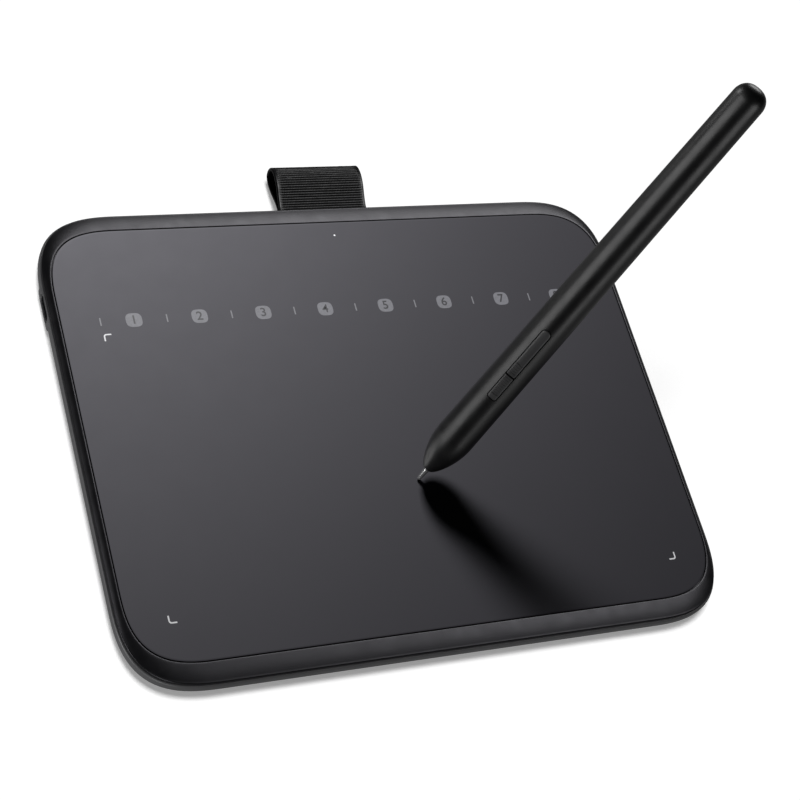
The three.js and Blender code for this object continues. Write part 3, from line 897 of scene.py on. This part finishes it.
def digit(value, x, y):
    """A plain numeral as a thin solid, centred on x, y."""
    curve = bpy.data.curves.new("numeral", "FONT")
    curve.body = str(value)
    curve.size = DIGIT_SIZE * MM
    curve.offset = (FOUR_WEIGHT if value == 4 else DIGIT_WEIGHT) * MM
    curve.extrude = INK * MM / 2
    curve.align_x = "CENTER"
    curve.align_y = "CENTER"
    text = add_object("numeral", curve)
    bpy.context.view_layer.update()
    mesh = bpy.data.meshes.new_from_object(text.evaluated_get(bpy.context.evaluated_depsgraph_get()))
    bpy.data.objects.remove(text)
    bpy.data.curves.remove(curve)
    place = Vector((x + CENTRE[0], y + CENTRE[1], SURFACE_Z + INK * 1.2)) * MM
    mesh.transform(Matrix.Translation(place))
    return add_object("numeral", mesh)


# ------------------------ tablet: pen loop

RIB_PITCH = 0.8
RIB_HEIGHT = 0.3
RIB_ROUNDNESS = 0.6
PLAIN_EDGE = 1.0
EDGE_ROLL = 0.4
EDGE_RISE = 0.02
UNEVENNESS = 0.012
LOOP_HALF_THICKNESS = 0.48


def loop_path():
    """The strap's middle line as (y, z), from the upper layer's hidden end round the fold to the lower's."""
    back = LOOP_HIGH[1] - 0.5
    wall = LOOP_LOW[1]
    upper = SHELL_TOP - 0.6
    lower = upper - 1.3
    knots = np.array([
        (wall, upper), (wall + 4.5, upper), (back - 14.5, upper + 0.2), (back - 11, 7.2), (back - 7.2, 8.7),
        (back - 3.5, 9), (back - 0.8, 7.9), (back, 5.8), (back - 0.6, 3.8), (back - 2.5, 3.05),
        (back - 5.5, 3.15), (back - 8.9, 3.9), (back - 12.3, lower + 0.15), (wall + 5.5, lower),
        (wall, lower),
    ])
    return smooth_curve(knots, 40)


def smooth_curve(knots, steps):
    """A centripetal Catmull-Rom curve through the knots."""
    knots = np.vstack([2 * knots[0] - knots[1], knots, 2 * knots[-1] - knots[-2]])
    out = []
    for i in range(1, len(knots) - 2):
        p = knots[i - 1:i + 3]
        t = np.concatenate([[0], np.cumsum(np.sqrt(np.linalg.norm(np.diff(p, axis=0), axis=1)))])
        for u in np.linspace(t[1], t[2], steps, endpoint=False):
            a = [(p[k] * (t[k + 1] - u) + p[k + 1] * (u - t[k])) / (t[k + 1] - t[k]) for k in range(3)]
            b = [(a[k] * (t[k + 2] - u) + a[k + 1] * (u - t[k])) / (t[k + 2] - t[k]) for k in range(2)]
            out.append((b[0] * (t[2] - u) + b[1] * (u - t[1])) / (t[2] - t[1]))
    out.append(knots[-2])
    return np.array(out)


def resampled(points, step):
    """The same path at even steps, and the distance along it of each point."""
    lengths = np.concatenate([[0], np.cumsum(np.linalg.norm(np.diff(points, axis=0), axis=1))])
    even = np.linspace(0, lengths[-1], int(lengths[-1] / step) + 1)
    return np.column_stack([np.interp(even, lengths, points[:, k]) for k in range(2)]), even


def strap_columns(half_width):
    """Places across the strap, closer together at its edges."""
    edge = half_width * np.array([0.91, 0.93, 0.955, 0.98, 0.995, 1.0])
    return np.concatenate([-edge[::-1], np.linspace(-0.88, 0.88, 45) * half_width, edge])


def pen_loop():
    """Ribbed elastic webbing: ribs cross the strap on both faces, between rolled edges."""
    path, along = resampled(loop_path(), RIB_PITCH / 8)
    tangent = np.gradient(path, axis=0)
    tangent /= np.linalg.norm(tangent, axis=1)[:, None]
    normal = np.column_stack([-tangent[:, 1], tangent[:, 0]])
    half_width = (LOOP_HIGH[0] - LOOP_LOW[0]) / 2
    middle_x = (LOOP_LOW[0] + LOOP_HIGH[0]) / 2
    across = strap_columns(half_width)
    edge = np.clip((half_width - np.abs(across)) / EDGE_ROLL, 0, 1)
    roll = np.sqrt(1 - (1 - edge) ** 2)
    ribbed = np.clip((half_width - np.abs(across) - PLAIN_EDGE) / (PLAIN_EDGE / 2), 0, 1)
    rib = np.abs(np.sin(math.pi * along / RIB_PITCH)) ** RIB_ROUNDNESS
    rng = np.random.default_rng(7)
    uneven = rng.normal(0, UNEVENNESS, (len(along), len(across)))
    rings = []
    for i, (y, z) in enumerate(path):
        lift = ribbed * (RIB_HEIGHT * (rib[i] - 1) + uneven[i]) + (1 - ribbed) * EDGE_RISE
        layers = []
        for side in (1, -1):
            offset = side * (LOOP_HALF_THICKNESS * roll + lift * roll)
            face = np.column_stack([middle_x + across, y + normal[i, 0] * offset, z + normal[i, 1] * offset])
            layers.append(face if side == 1 else face[::-1][1:-1])
        rings.append(np.concatenate(layers))
    piece = loft("webbing_loop", rings)
    # painted shade and sheen: the ribs' height profile, dimmed at random per rib and per thread, is stored
    # for the webbing's colour, dark in the grooves and light on the crests
    threads = rng.normal(0, 0.12, len(piece.data.vertices))
    shade_of_rib = rng.uniform(0.72, 1.0, int(along[-1] / RIB_PITCH) + 2)[(along / RIB_PITCH).astype(int)]
    height = np.repeat(rib * shade_of_rib, len(rings[0]))
    crest = piece.data.attributes.new("crest", "FLOAT", "POINT")
    crest.data.foreach_set("value", np.clip(height + threads, 0, 1).astype(np.float32))
    dress(piece, MATERIALS["webbing"], "webbing", TABLET, "pen_loop", sharp=70)


# ------------------------ pen

JOINTS = {joint["name"]: joint for joint in frame["record"]["behaviour"]["joints"]}
COIL_MIDDLE = 18.25
PEN_LENGTH = 150.8
PEN_SEAM = 18.1
PEN_NOSE = 4.4
NOSE_RADIUS = 1.35
GRIP_RADIUS = 6.0
NIB_RADIUS = 0.85
REAR_RADIUS = 5.0
DOME = 4.6
BORE = 4.3
PEN_SEGMENTS = 128
BUTTON_WIDTH = 2.95
BUTTON_FRONT = (36.1, 44.7)
BUTTON_REAR = (45.1, 62.4)
BUTTON_PROUD = 0.3
BUTTON_GAP = 0.22
BUTTON_FILLET = 0.42
BUTTON_ROOT = 2.8
ROUND_END = BUTTON_WIDTH / 2 - 0.05
RIDGE_PITCH = 0.8
RIDGE_DEPTH = 0.09


def pen_space():
    """From the pen's millimetres, +Z from tip to end and +X through the buttons, to the row frame's."""
    axis = Vector(JOINTS["nib_press"]["axis"]).normalized()
    button = -Vector(JOINTS["button_front_press"]["axis"]).normalized()
    side = axis.cross(button)
    tip = Vector(middle_mm("antenna_coil")) - axis * COIL_MIDDLE
    matrix = Matrix((button, side, axis)).transposed().to_4x4()
    matrix.translation = tip
    return matrix


PEN_SPACE = pen_space()


def to_row(piece):
    """Moves a mesh made in the pen's own space, already scaled to metres, to its place."""
    matrix = PEN_SPACE.copy()
    matrix.translation = matrix.translation * MM
    piece.data.transform(matrix)
    piece.data.update()


def barrel_radius(t):
    share = (t - PEN_SEAM) / (PEN_LENGTH - DOME - PEN_SEAM)
    return GRIP_RADIUS + (REAR_RADIUS - GRIP_RADIUS) * share


def button_outline(start, end, half, front_round, rear_round, grow=0.0, step=0.2):
    """Outline in (along, across), squarer at the front end and round at the rear."""
    s, e, h = start - grow, end + grow, half + grow
    f, r = front_round + grow, rear_round + grow
    points = arc_profile((e - r, h - r), (r, r), 0, 90, 14)
    points += [(t, h) for t in np.arange(e - r - step, s + f, -step)]
    points += arc_profile((s + f, h - f), (f, f), 90, 180, 10)
    points += arc_profile((s + f, -h + f), (f, f), 180, 270, 10)
    points += [(t, -h) for t in np.arange(s + f + step, e - r, step)]
    points += arc_profile((e - r, -h + r), (r, r), 270, 360, 14)
    return np.array(points)


def radial_ring(outline, height):
    """Turns (along, across) points and heights towards the buttons into pen-space points."""
    height = np.broadcast_to(height, (len(outline),))
    return np.column_stack([height, outline[:, 1], outline[:, 0]])


def pen_barrel():
    """A tube that narrows to a domed end, with the buttons' slot cut in its side."""
    start = PEN_SEAM + 0.01
    base = PEN_LENGTH - DOME
    sleeve, sleeve_end = BORE + 0.5, start + 8
    profile = [(0, sleeve_end), (sleeve, sleeve_end), (sleeve, start), (GRIP_RADIUS - 0.02, start)]
    profile.append((barrel_radius(start), start + 0.02))
    profile += [(barrel_radius(t), t) for t in np.linspace(start + 1, base, 60)]
    for angle in np.radians(np.linspace(4, 90, 22)[:-1]):
        profile.append((REAR_RADIUS * math.cos(angle) ** 0.8, base + DOME * math.sin(angle)))
    profile.append((0, PEN_LENGTH))
    piece = turned("barrel", profile, PEN_SEGMENTS)
    slot = button_outline(BUTTON_FRONT[0], BUTTON_REAR[1], BUTTON_WIDTH / 2, 0.7, ROUND_END, BUTTON_GAP)
    cutter = loft("slot", [radial_ring(slot, 3.0), radial_ring(slot, 9.0)])
    boolean(piece, [cutter])
    to_row(piece)
    dress(piece, MATERIALS["pen_plastic"], "pen_plastic", PEN, "pen_barrel", sharp=40)


def nose_cone():
    """A bulging cone with a round lip at its mouth, hollow, and a sleeve that goes into the barrel."""
    hole = NIB_RADIUS + 0.2
    sleeve, sleeve_end = BORE + 0.2, PEN_SEAM + 5.6
    profile = [(hole, 9.0), (hole, PEN_NOSE + 0.2), (hole + 0.04, PEN_NOSE + 0.05), (hole + 0.12, PEN_NOSE)]
    for s in np.linspace(0, 1, 60) ** 1.5:
        radius = NOSE_RADIUS + (GRIP_RADIUS - NOSE_RADIUS) * math.sin(s * math.pi / 2) ** 0.7
        profile.append((radius, PEN_NOSE + 0.06 + (PEN_SEAM - 0.08 - PEN_NOSE) * s))
    profile += [(GRIP_RADIUS - 0.02, PEN_SEAM), (sleeve, PEN_SEAM), (sleeve, sleeve_end)]
    profile += [(3.5, sleeve_end), (3.5, 11.5)]
    piece = loft("nose", turned_rings(profile, PEN_SEGMENTS), loop=True)
    to_row(piece)
    dress(piece, MATERIALS["pen_plastic"], "pen_plastic", PEN, "nose_cone", sharp=40)


def nib():
    """A slim rod with a rounded tip."""
    round_radius, round_height = 0.58, 0.5
    rod_end = 28
    profile = [(0, 0)]
    for a in np.radians(np.linspace(12, 84, 9)):
        profile.append((round_radius * math.sin(a), round_height * (1 - math.cos(a))))
    profile += [(0.62, 0.9), (0.7, 1.9), (0.78, 2.9), (NIB_RADIUS, 3.9)]
    profile += [(NIB_RADIUS, rod_end - 0.2), (0.7, rod_end), (0, rod_end)]
    piece = turned("writing_nib", profile, 64)
    to_row(piece)
    dress(piece, MATERIALS["nib_plastic"], "nib_plastic", "pen_nib", "nib", sharp=45)


def side_button(which, span, corners, ridges_at, ridges_reach):
    """A slim cap that follows the barrel, with a soft rim and a few fine ridges next to the split."""
    start, end = span
    half = BUTTON_WIDTH / 2
    outline = button_outline(start, end, half, *corners)
    spine = np.column_stack([np.clip(outline[:, 0], start + half, end - half), np.zeros(len(outline))])

    def ring(shrink, sink):
        points = spine + (outline - spine) * (1 - shrink)
        reach = barrel_radius(points[:, 0]) + BUTTON_PROUD
        height = np.sqrt(reach ** 2 - points[:, 1] ** 2)
        near = np.abs(points[:, 0] - ridges_at) < ridges_reach
        waves = np.cos((points[:, 0] - ridges_at) * 2 * math.pi / RIDGE_PITCH)
        ridge = np.where(near, RIDGE_DEPTH * (waves - 1), 0)
        return radial_ring(points, height - sink + ridge * min(1, shrink / 0.2))

    rings = [radial_ring(outline, BUTTON_ROOT)]
    rim = BUTTON_FILLET / half
    for angle in np.linspace(0, QUARTER, 7):
        rings.append(ring(rim * (1 - math.cos(angle)), BUTTON_FILLET * (1 - math.sin(angle))))
    for shrink in np.linspace(rim + 0.06, 1, 10):
        rings.append(ring(shrink, 0))
    piece = loft(f"{which}_button", rings, caps=False)
    close_end(piece, len(outline))
    to_row(piece)
    body = f"pen_button_{which}"
    dress(piece, MATERIALS["button_plastic"], "button_plastic", body, f"button_{which}", sharp=60)


def close_end(piece, count):
    """Caps the first ring and welds the last one, which has shrunk to a line."""
    bm = bmesh.new()
    bm.from_mesh(piece.data)
    bm.verts.ensure_lookup_table()
    bm.faces.new([bm.verts[i] for i in range(count)])
    bmesh.ops.remove_doubles(bm, verts=bm.verts, dist=0.005 * MM)
    bmesh.ops.recalc_face_normals(bm, faces=bm.faces)
    bm.to_mesh(piece.data)
    bm.free()


# ------------------------ CAD pieces that stay


def finish_cad_nodes():
    """Gives every CAD piece that isn't replaced its slot's procedural material."""
    for row in frame["record"]["subparts"]:
        node = frame["nodes"][row["node"]]
        material = MATERIALS[row["material_slot"]]
        node.data.materials.clear()
        node.data.materials.append(material)


# ------------------------ stage, light, camera


FLOOR_HALF = 4.0
FLOOR_SEEN = (0.9, 0.9, 0.9)
FLOOR_BOUNCED = (0.25, 0.25, 0.25)
FLOOR_GLOW = (0.3, 0.3, 0.3, 1)


def floor():
    """A floor that looks white to the camera, but throws little light on the tablet."""
    mesh = bpy.data.meshes.new("floor")
    corners = [(x * FLOOR_HALF, y * FLOOR_HALF, 0) for x, y in ((-1, -1), (1, -1), (1, 1), (-1, 1))]
    mesh.from_pydata(corners, [], [(0, 1, 2, 3)])
    piece = add_object("floor", mesh)
    finish = Finish("floor_paint", FLOOR_SEEN, 0.9, specular=0.0)
    finish.set("Emission Color", FLOOR_GLOW)
    seen = finish.nodes.new("ShaderNodeLightPath").outputs["Is Camera Ray"]
    finish.paint(seen, [(0.0, FLOOR_BOUNCED), (1.0, FLOOR_SEEN)])
    finish.links.new(seen, finish.shader.inputs["Emission Strength"])
    mesh.materials.append(finish.material)


def direction(azimuth, elevation):
    """A unit vector; azimuth 0 is +X and 90 is +Y."""
    a, e = math.radians(azimuth), math.radians(elevation)
    return Vector((math.cos(a) * math.cos(e), math.sin(a) * math.cos(e), math.sin(e)))


def softbox(name, azimuth, elevation, distance, size, irradiance):
    """A rectangular lamp aimed at the sheet's middle, with its irradiance there, face on, in W/m2."""
    light = bpy.data.lights.new(name, "AREA")
    light.shape = "RECTANGLE"
    light.size, light.size_y = size
    light.energy = irradiance * math.pi * distance ** 2
    lamp = add_object(name, light)
    away = direction(azimuth, elevation)
    lamp.location = Vector((CENTRE[0], CENTRE[1], SURFACE_Z)) * MM + away * distance
    lamp.rotation_mode = "QUATERNION"
    lamp.rotation_quaternion = away.to_track_quat("Z", "Y")
    return lamp


SHELL_PIECES = ("bezel_cover", "lower_shell")
PEN_PIECES = ("barrel", "nose", "writing_nib", "front_button", "rear_button")
KEY_DISTANCE = 0.58
KEY_SIZE = (0.12, 0.12)
BOX_DISTANCE = 3.0
LOW = 10
# The boxes: the pieces that they light, and each one's azimuth, elevation, size, irradiance
BOXES = (
    (("floor",), {"floor_light": (140, 80, (1.0, 1.0), 2.75)}),
    (("webbing_loop",), {"loop_light": (3, 64, (0.5, 0.5), 2.3)}),
    (("nose",), {"nose_light": (168, -38, (0.9, 0.9), 2.0)}),
    (("writing_nib",), {"nib_light": (180, -8, (0.5, 1.1), 2.6)}),
    (SHELL_PIECES, {
        "left_wall_box": (180, LOW, (1.4, 1.4), 2.0),
        "front_wall_box": (240, LOW, (1.4, 1.4), 1.0),
        "back_edge_box": (55, 45, (2.0, 2.0), 2.5),
        "right_edge_box": (0, 60, (1.0, 1.0), 0.5),
    }),
    (PEN_PIECES, {
        "bright_stripe_box": (175, 12, (2.5, 2.5), 2.5),
        "dim_stripe_box": (285, LOW, (2.0, 2.0), 1.25),
        "pen_edge_box": (120, LOW, (1.0, 1.0), 1.0),
        "pen_tail_box": (45, LOW, (1.5, 1.5), 1.0),
    }),
)


def aim_at(lamp, names, state="INCLUDE"):
    """Lets the lamp light only these pieces, or all but these."""
    group = bpy.data.collections.new(lamp.name + "_pieces")
    for name in names:
        group.objects.link(bpy.data.objects[name])
    for entry in group.collection_objects:
        entry.light_linking.link_state = state
    lamp.light_linking.receiver_collection = group


def dark_room():
    world = bpy.data.worlds.new("studio")
    world.use_nodes = True
    background = world.node_tree.nodes["Background"]
    background.inputs["Color"].default_value = (1, 1, 1, 1)
    background.inputs["Strength"].default_value = 0.01
    bpy.context.scene.world = world


def studio():
    """A key softbox behind the tablet for the sheet, and boxes that each light one group of pieces only."""
    dark_room()
    key = softbox("key", 86.5, 43.5, KEY_DISTANCE, KEY_SIZE, 4.5)
    aim_at(key, ("floor", "webbing_loop", *SHELL_PIECES, *PEN_PIECES), "EXCLUDE")
    for names, boxes in BOXES:
        for name, (azimuth, elevation, size, irradiance) in boxes.items():
            lamp = softbox(name, azimuth, elevation, BOX_DISTANCE, size, irradiance)
            aim_at(lamp, names)
            if elevation < 0:
                # from under the floor, so only the lit piece itself may cast a shadow
                lamp.light_linking.blocker_collection = lamp.light_linking.receiver_collection
    bpy.context.scene.view_settings.view_transform = "Standard"


CAMERA_AIM = (5.6, 4.7)
CAMERA_DISTANCE = 579.8
CAMERA_AZIMUTH = -45.3
CAMERA_ELEVATION = 54.3
CAMERA_ROLL = 34.7
CAMERA_LENS = 85.94


def camera():
    """Looks down over the front left corner, rolled so that the tablet stands on its near corner."""
    data = bpy.data.cameras.new("camera")
    data.lens = CAMERA_LENS
    data.sensor_width = 36
    data.clip_start, data.clip_end = 0.01, 20
    item = add_object("camera", data)
    a, e = math.radians(CAMERA_AZIMUTH), math.radians(CAMERA_ELEVATION)
    back = Vector((math.sin(a) * math.cos(e), -math.cos(a) * math.cos(e), math.sin(e)))
    aim = Vector((CENTRE[0] + CAMERA_AIM[0], CENTRE[1] + CAMERA_AIM[1], SURFACE_Z)) * MM
    item.location = aim + back * CAMERA_DISTANCE * MM
    level = (-back).to_track_quat("-Z", "Y")
    item.rotation_mode = "QUATERNION"
    item.rotation_quaternion = level @ Matrix.Rotation(math.radians(CAMERA_ROLL), 3, "Z").to_quaternion()
    bpy.context.scene.camera = item


camera()
floor()
finish_cad_nodes()

top_cover()
drawing_surface()
bottom_cover()
feet()
case_screws()
usb_socket()
status_light()
corner_marks()
key_row()
pen_loop()

pen_barrel()
nose_cone()
nib()
side_button("front", BUTTON_FRONT, (0.6, 0.35), BUTTON_FRONT[1], 6.8)
side_button("rear", BUTTON_REAR, (0.35, ROUND_END), BUTTON_REAR[0], 4.4)
studio()
